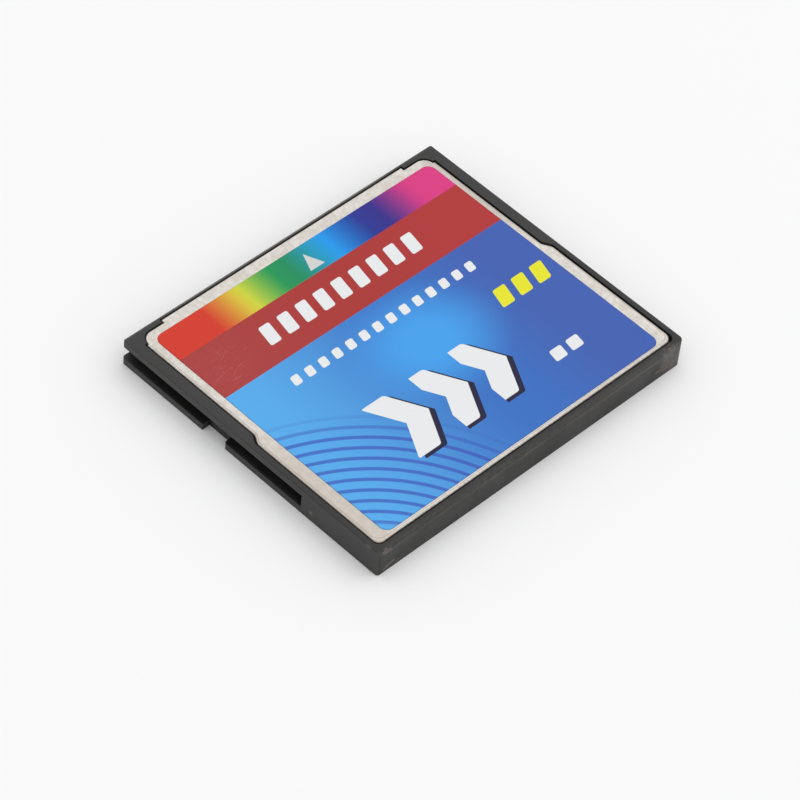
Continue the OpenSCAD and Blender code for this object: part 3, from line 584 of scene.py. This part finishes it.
contact_gold, tree, surface, place = new_finish("contact_gold", shade(222, 184, 98), 0.28, metallic=1.0)
sheet = use(tree, rolled_sheet, place=place, stretch=(5.0, 0.5, 5.0))
tree.links.new(blend(tree, sheet["Mottle"], shade(212, 172, 88), shade(231, 196, 116)), surface.inputs["Base Color"])
tree.links.new(spread(tree, sheet["Lines"], 0.2, 0.8, 0.2, 0.38), surface.inputs["Roughness"])
raise_by(tree, surface, sheet["Lines"], 0.002 * MM)


def dress(node, material):
    """Gives a CAD node its finish."""
    mesh = nodes[node].data
    mesh.materials.clear()
    mesh.materials.append(material)


dress("connector_body", connector_black)
dress("upper_contacts", contact_gold)
dress("lower_contacts", contact_gold)

# The board is glass-fibre laminate under green solder mask, with fine copper tracks that show
# through it. It lies on the frame's ledges and is soldered to the contacts' tails.

board_green, tree, surface, place = new_finish("board_green", shade(30, 104, 66), 0.35)
lanes = add(tree, "ShaderNodeTexBrick", {
    "Vector": place, "Scale": 0.45, "Mortar Size": 0.03, "Mortar Smooth": 0.3, "Brick Width": 6.0,
    "Row Height": 0.25})
bundles = add(tree, "ShaderNodeTexNoise", {"Vector": place, "Scale": 0.16, "Detail": 1.0})
tracks = calc(tree, "MULTIPLY", lanes.outputs["Fac"], spread(tree, bundles.outputs[0], 0.48, 0.52))
cells = add(tree, "ShaderNodeTexVoronoi", {"Vector": place, "Scale": 0.55}, distance="CHEBYCHEV")
pad = spread(tree, cells.outputs["Distance"], 0.14, 0.1)
laminate = blend(tree, tracks, shade(24, 92, 57), shade(44, 128, 82))
laminate = blend(tree, pad, laminate, shade(196, 170, 92))
tree.links.new(laminate, surface.inputs["Base Color"])
tree.links.new(pad, surface.inputs["Metallic"])
raise_by(tree, surface, calc(tree, "MAXIMUM", tracks, pad), 0.02 * MM)
dress("circuit_board", board_green)

# The chips are moulded in matt black epoxy, with a marked corner. Their leads are tinned copper
# alloy, bent down and soldered to the board on the upper and the lower face.

chip_epoxy, tree, surface, place = new_finish("chip_epoxy", shade(42, 42, 44), 0.62)
skin = use(tree, moulded_skin, place=place, grain=11.0, cloud=0.6)
tree.links.new(blend(tree, skin["Clouds"], shade(37, 37, 39), shade(48, 48, 50)), surface.inputs["Base Color"])
tree.links.new(spread(tree, skin["Clouds"], 0.0, 1.0, 0.56, 0.7), surface.inputs["Roughness"])
raise_by(tree, surface, skin["Height"], 0.008 * MM)
for node in ("controller_body", "upper_flash_body", "lower_flash_body", "regulator_body"):
    dress(node, chip_epoxy)

lead_tin, tree, surface, place = new_finish("lead_tin", shade(206, 208, 210), 0.32, metallic=1.0)
sheet = use(tree, rolled_sheet, place=place, stretch=(2.0, 2.0, 2.0))
tree.links.new(blend(tree, sheet["Mottle"], shade(190, 192, 195), shade(220, 221, 222)), surface.inputs["Base Color"])
tree.links.new(spread(tree, sheet["Mottle"], 0.0, 1.0, 0.24, 0.42), surface.inputs["Roughness"])
raise_by(tree, surface, sheet["Mottle"], 0.004 * MM)
for node in ("controller_leads", "upper_flash_leads", "lower_flash_leads", "regulator_leads"):
    dress(node, lead_tin)

# The clock part is a white ceramic box with a gold-washed lid welded on. The small parts are
# ceramic blocks with a tinned cap at each end, tan for capacitors and black for resistors.

clock_ceramic, tree, surface, place = new_finish("clock_ceramic", shade(222, 217, 204), 0.55)
skin = use(tree, moulded_skin, place=place, grain=8.0, cloud=0.8)
tree.links.new(blend(tree, skin["Clouds"], shade(214, 208, 194), shade(229, 225, 214)), surface.inputs["Base Color"])
raise_by(tree, surface, skin["Height"], 0.006 * MM)
dress("oscillator_base", clock_ceramic)

clock_lid, tree, surface, place = new_finish("clock_lid", shade(212, 200, 150), 0.3, metallic=1.0)
sheet = use(tree, rolled_sheet, place=place, stretch=(0.6, 4.0, 1.0))
tree.links.new(blend(tree, sheet["Mottle"], shade(204, 190, 138), shade(220, 209, 162)), surface.inputs["Base Color"])
tree.links.new(spread(tree, sheet["Lines"], 0.2, 0.8, 0.22, 0.4), surface.inputs["Roughness"])
raise_by(tree, surface, sheet["Lines"], 0.003 * MM)
dress("oscillator_lid", clock_lid)


end_caps, given, made = new_group(
    "end_caps",
    [("Along", FLOAT, 0.0), ("First", FLOAT, 0.0), ("Pitch", FLOAT, 5.0), ("Steps", FLOAT, 0.0), ("Core", FLOAT, 0.5)],
    [("Mask", FLOAT)])
run = calc(end_caps, "SUBTRACT", given["Along"], given["First"])
step = calc(end_caps, "ROUND", calc(end_caps, "DIVIDE", run, given["Pitch"]))
step = calc(end_caps, "MINIMUM", calc(end_caps, "MAXIMUM", step, 0.0), given["Steps"])
run = calc(end_caps, "SUBTRACT", run, calc(end_caps, "MULTIPLY", step, given["Pitch"]))
beyond = calc(end_caps, "SUBTRACT", calc(end_caps, "ABSOLUTE", run), given["Core"])
end_caps.links.new(spread(end_caps, beyond, -0.01, 0.01), made["Mask"])


def end_capped_finish(name, dark_tone, light_tone, axis, first, core, pitch=5.0, steps=0.0, top=None):
    """Fired ceramic with fine grain; tinned further than the core from the middle of each part.

    The parts stand in a row along the axis at first + i pitch. Given a top, the tin that lies over
    the ceramic reaches in only above that height.
    """
    material, tree, surface, place = new_finish(name, light_tone, 0.5)
    skin = use(tree, moulded_skin, place=place, grain=9.0, cloud=1.1)
    flat = add(tree, "ShaderNodeSeparateXYZ", {"Vector": place}).outputs
    tin = use(tree, end_caps, along=flat[axis], first=first, pitch=pitch, steps=steps, core=core)[0]
    if top is not None:
        wide = use(tree, end_caps, along=flat[axis], first=first, pitch=pitch, steps=steps, core=core - 0.3)[0]
        above = spread(tree, flat["Z"], top - 0.01, top + 0.01)
        tin = calc(tree, "MAXIMUM", tin, calc(tree, "MULTIPLY", wide, above))
    fired = blend(tree, skin["Clouds"], dark_tone, light_tone)
    tinned = blend(tree, skin["Clouds"], shade(188, 190, 194), shade(216, 217, 219))
    tree.links.new(blend(tree, tin, fired, tinned), surface.inputs["Base Color"])
    tree.links.new(tin, surface.inputs["Metallic"])
    rough = spread(tree, skin["Clouds"], 0.0, 1.0, 0.42, 0.58)
    tree.links.new(calc(tree, "SUBTRACT", rough, calc(tree, "MULTIPLY", tin, 0.14)), surface.inputs["Roughness"])
    raise_by(tree, surface, skin["Height"], 0.005 * MM)
    return material


tan = (shade(160, 118, 76), shade(186, 144, 98))
black = (shade(44, 44, 46), shade(58, 58, 60))
dress("bulk_capacitors", end_capped_finish("bulk_tan", *tan, "X", -16.3, 0.96, pitch=3.8, steps=2.0))
dress("small_capacitors", end_capped_finish("capacitor_tan", *tan, "Y", -2.0, 0.48, steps=1.0))
dress("resistors", end_capped_finish("resistor_black", *black, "Y", -7.7, 0.48))
dress("resistor_arrays", end_capped_finish("array_black", *black, "Y", 7.9, 0.775, top=2.325))

# A thin amber film is glued inside each cover, so that no part can touch the steel.

film_amber, tree, surface, place = new_finish("film_amber", shade(222, 160, 66), 0.24)
skin = use(tree, moulded_skin, place=place, grain=0.8, cloud=0.3)
tree.links.new(blend(tree, skin["Clouds"], shade(214, 150, 56), shade(228, 172, 80)), surface.inputs["Base Color"])
tree.links.new(spread(tree, skin["Clouds"], 0.0, 1.0, 0.18, 0.32), surface.inputs["Roughness"])
raise_by(tree, surface, skin["Height"], 0.01 * MM)
dress("upper_film", film_amber)
dress("lower_film", film_amber)

# The floor is a wide sheet of matt white paper. Light comes from a white room and from one
# large soft panel above the card, a little to its right.

paper, tree, surface, place = new_finish("paper", (0.95, 0.95, 0.955, 1.0), 0.9, specular=0.0)
floor_mesh = bpy.data.meshes.new("floor")
floor_mesh.from_pydata([(-3, -3, 0), (3, -3, 0), (3, 3, 0), (-3, 3, 0)], [], [(0, 1, 2, 3)])
floor_mesh.materials.append(paper)
floor = bpy.data.objects.new("floor", floor_mesh)
bpy.context.scene.collection.objects.link(floor)

world = bpy.data.worlds.new("room")
world.use_nodes = True
tree = world.node_tree
toward = add(tree, "ShaderNodeTexCoord").outputs["Generated"]
lift = add(tree, "ShaderNodeVectorMath", {0: toward, 1: (0.10, -0.04, 0.36)}, operation="DOT_PRODUCT").outputs["Value"]
tree.links.new(calc(tree, "ADD", lift, 0.68), tree.nodes["Background"].inputs["Strength"])
tree.nodes["Background"].inputs["Color"].default_value = (1.0, 1.0, 1.0, 1.0)
bpy.context.scene.world = world

panel_light = bpy.data.lights.new("soft_panel", "AREA")
panel_light.shape = "SQUARE"
panel_light.size = 1.4
panel_light.energy = 2.0
panel = bpy.data.objects.new("soft_panel", panel_light)
bpy.context.scene.collection.objects.link(panel)
panel.location = (0.54, -0.24, 1.04)
panel.rotation_euler = panel.location.to_track_quat("Z", "Y").to_euler()

# The camera stands as the photograph was taken, a little turned about its own axis.

azimuth, elevation, roll = math.radians(-49.194), math.radians(47.598), math.radians(6.446)
back = Vector((
    math.sin(azimuth) * math.cos(elevation), -math.cos(azimuth) * math.cos(elevation), math.sin(elevation)))
level = Vector((math.cos(azimuth), math.sin(azimuth), 0))
above = back.cross(level)
right = math.cos(roll) * level + math.sin(roll) * above
top = -math.sin(roll) * level + math.cos(roll) * above
camera_data = bpy.data.cameras.new("camera")
camera_data.sensor_width = 36.0
camera_data.lens = 179.31
camera_data.clip_start = 0.01
camera = bpy.data.objects.new("camera", camera_data)
bpy.context.scene.collection.objects.link(camera)
turn_to = Matrix((right, top, back)).transposed().to_4x4()
camera.matrix_world = Matrix.Translation(Vector((-3.822, -3.400, 0)) * MM + back * 394.35 * MM) @ turn_to
bpy.context.scene.camera = camera

bpy.context.scene.view_settings.view_transform = "Standard"
